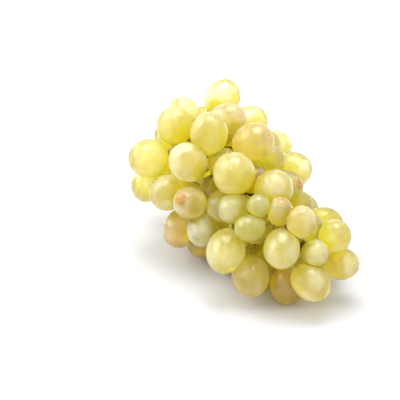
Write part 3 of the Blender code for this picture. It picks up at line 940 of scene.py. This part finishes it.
def grape_skin(name, passed, tint):
    """Thin skin over watery flesh that light passes right through. The flesh drinks up blue and
    scatters the rest a little, and the waxy bloom on the skin is pale and less clear. On some near
    grapes the bloom is partly painted light that makes them paler. passed is the colour that the
    flesh lets by, and tint the skin's own."""
    material, tree = new_material(name)
    place = coords_mm(tree)
    tip = add(tree, "Attribute", attribute_name="tip_share").outputs["Fac"]
    bloom_and_painted_light = bloom_and_painted_light_clouds(tree, place)
    blush = tip_blush(tree, place, tip)
    marks = {0: specks(tree, place), 1: tip_scar(tree, tip)}
    mark = add(tree, "Math", marks, operation="MAXIMUM").outputs[0]
    # ivory bloom, on some near grapes partly painted light, then amber to tan where the sun touched
    # the tip, then brown marks
    colour = linear(tint)
    for share, over in ((bloom_and_painted_light, "#fbf8de"), (blush, "#be8a20"), (mark, "#6b4a22")):
        layers = {0: share, COLOUR_A: colour, COLOUR_B: linear(over)}
        colour = add(tree, "Mix", layers, data_type="RGBA").outputs[MIXED]
    # bloom, blush and marks all let less light through than clean skin
    levels = {"Value": mark, "To Min": CLEAN_SKIN, "To Max": BROWN_SKIN}
    clear = add(tree, "MapRange", levels).outputs[0]
    for share, veil in ((bloom_and_painted_light, BLOOM_VEIL), (blush, BLUSH_VEIL)):
        clear = add(tree, "Math", {0: share, 1: -veil, 2: clear}, operation="MULTIPLY_ADD").outputs[0]
    shader = add(tree, "BsdfPrincipled", {
        "Base Color": colour,
        "Roughness": 0.3,
        "IOR": 1.38,
        "Transmission Weight": clear,
        "Coat Weight": 0.6,
        "Coat Roughness": 0.22,
    })
    absorb = add(tree, "VolumeAbsorption", {"Color": linear(passed), "Density": FLESH_ABSORBS})
    haze = add(tree, "VolumeScatter", {"Color": linear("#ffffff"), "Density": FLESH_SCATTERS})
    inside = add(tree, "AddShader", {0: absorb.outputs[0], 1: haze.outputs[0]})
    add(tree, "OutputMaterial", {"Surface": shader.outputs[0], "Volume": inside.outputs[0]})
    return material


def grape_wood():
    """Woody grape stalk: green-tan young stems with brown warts, dark ridged old wood. It is dry
    and rough, so it only shines dully."""
    material, tree = new_material("woody_grape_stem")
    place = coords_mm(tree)
    wood = add(tree, "Attribute", attribute_name="wood").outputs["Fac"]
    to_cap = add(tree, "Attribute", attribute_name="to_cap").outputs["Fac"]
    patch = add(tree, "TexNoise", {"Vector": place, "Scale": 1 / BARK_PATCH, "Detail": 3.0}).outputs[0]
    levels = {"Value": patch, "From Min": 0.3, "From Max": 0.7, "To Min": -0.25, "To Max": 0.25}
    uneven = add(tree, "MapRange", levels).outputs[0]
    age = add(tree, "Math", {0: wood, 1: uneven}, operation="ADD", use_clamp=True).outputs[0]
    # a ramp's first two stops are its ends, and the one between them comes last
    ages = ((0.0, "#a9a35a"), (1.0, "#4a3218"), (0.45, "#7d6632"))
    bark = add(tree, "ValToRGB", {0: age}, stops=ages).outputs[0]
    # corky warts under half a mm across
    cell = add(tree, "TexVoronoi", {"Vector": place, "Scale": 1 / WART_SPACING}).outputs["Distance"]
    top, foot = (radius / WART_SPACING for radius in WART_RADII)
    levels = {"Value": cell, "From Min": top, "From Max": foot, "To Min": 1.0, "To Max": 0.0}
    wart = add(tree, "MapRange", levels).outputs[0]
    browned = add(tree, "Math", {0: wart, 1: 0.6}, operation="MULTIPLY").outputs[0]
    # the flared end that holds the grape is paler
    solid, faded = PALE_CAP
    levels = {"Value": to_cap, "From Min": solid, "From Max": faded, "To Min": 0.7, "To Max": 0.0}
    pale = add(tree, "MapRange", levels).outputs[0]
    colour = bark
    for share, over in ((browned, "#5d4322"), (pale, "#b9ae62")):
        layers = {0: share, COLOUR_A: colour, COLOUR_B: linear(over)}
        colour = add(tree, "Mix", layers, data_type="RGBA").outputs[MIXED]
    fibre = add(tree, "TexNoise", {"Vector": place, "Scale": 1 / FIBRE_WIDTH, "Detail": 5.0}).outputs[0]
    height = add(tree, "Math", {0: wart, 1: 0.8, 2: fibre}, operation="MULTIPLY_ADD").outputs[0]
    bumps = {"Height": height, "Strength": 0.6, "Distance": BARK_BUMP * MM}
    shader = add(tree, "BsdfPrincipled", {
        "Base Color": colour,
        "Roughness": 0.72,
        "Normal": add(tree, "Bump", bumps).outputs[0],
        "IOR": 1.45,
        "Subsurface Weight": 0.15,
        "Subsurface Scale": 0.6 * MM,
    })
    add(tree, "OutputMaterial", {"Surface": shader.outputs[0]})
    return material


def table_top():
    """Smooth white laminate, faintly clouded, that blurs what it reflects."""
    material, tree = new_material("white_laminate")
    place = coords_mm(tree)
    cloud = add(tree, "TexNoise", {"Vector": place, "Scale": 1 / LAMINATE_CLOUD, "Detail": 2.0}).outputs[0]
    colour = add(tree, "ValToRGB", {0: cloud}, stops=((0.3, "#cacacd"), (0.7, "#cdcdcf"))).outputs[0]
    shader = add(tree, "BsdfPrincipled", {"Base Color": colour, "Roughness": 0.6})
    add(tree, "OutputMaterial", {"Surface": shader.outputs[0]})
    return material


# ---- table, light and camera ----

def make_table():
    """A plain table top, far wider than the view."""
    bm = bmesh.new()
    bmesh.ops.create_grid(bm, x_segments=2, y_segments=2, size=TABLE_SIZE / 2 * MM)
    mesh = bpy.data.meshes.new("table_top")
    bm.to_mesh(mesh)
    bm.free()
    mesh.materials.append(table_top())
    table = add_object("table_top", mesh)


def from_middle(azimuth, elevation):
    """Direction from the bunch to a camera or a lamp."""
    turn, rise = math.radians(azimuth), math.radians(elevation)
    level = math.cos(rise)
    return Vector((math.sin(turn) * level, -math.cos(turn) * level, math.sin(rise)))


def soft_light(name, azimuth, elevation, distance, size, power, colour):
    """A square diffused lamp that faces the bunch."""
    lamp = bpy.data.lights.new(name, "AREA")
    lamp.size = size * MM
    lamp.energy = power
    lamp.color = linear(colour)[:3]
    holder = add_object(name, lamp)
    direction = from_middle(azimuth, elevation)
    holder.location = direction * distance * MM + Vector((0, 0, LAMP_AIM * MM))
    holder.rotation_euler = direction.to_track_quat("Z", "Y").to_euler()


def light_studio():
    """A white room with two windows."""
    world = bpy.data.worlds.new("white_studio")
    world.use_nodes = True
    shade = world.node_tree.nodes["Background"]
    shade.inputs["Color"].default_value = linear(ROOM_COLOUR)
    shade.inputs["Strength"].default_value = ROOM_LIGHT
    bpy.context.scene.world = world
    for name, settings in LAMPS.items():
        soft_light(name, *settings)


def set_camera():
    """The camera, and a view transform that leaves colours as they are."""
    lens = bpy.data.cameras.new("camera")
    lens.lens = CAMERA_LENS
    lens.clip_end = CAMERA_REACH * MM
    camera = add_object("camera", lens)
    direction = from_middle(CAMERA_AZIMUTH, CAMERA_ELEVATION)
    camera.location = Vector(CAMERA_AIM) * MM + direction * CAMERA_DISTANCE * MM
    camera.rotation_euler = direction.to_track_quat("Z", "Y").to_euler()
    bpy.context.scene.camera = camera
    bpy.context.scene.view_settings.view_transform = "Standard"


def let_light_through():
    """Enough bounces for light to cross a few grapes and scatter in them."""
    cycles = bpy.context.scene.cycles
    cycles.max_bounces = BOUNCES
    cycles.transmission_bounces = FLESH_BOUNCES
    cycles.volume_bounces = FLESH_BOUNCES


def main():
    grapes = settle()
    skins = [grape_skin(*row) for row in SKINS]
    for number, name in enumerate(BRANCHES):
        make_spray(grapes, number, name, skins)
    make_stalk(grapes, grape_wood())
    make_table()
    light_studio()
    set_camera()
    let_light_through()


main()
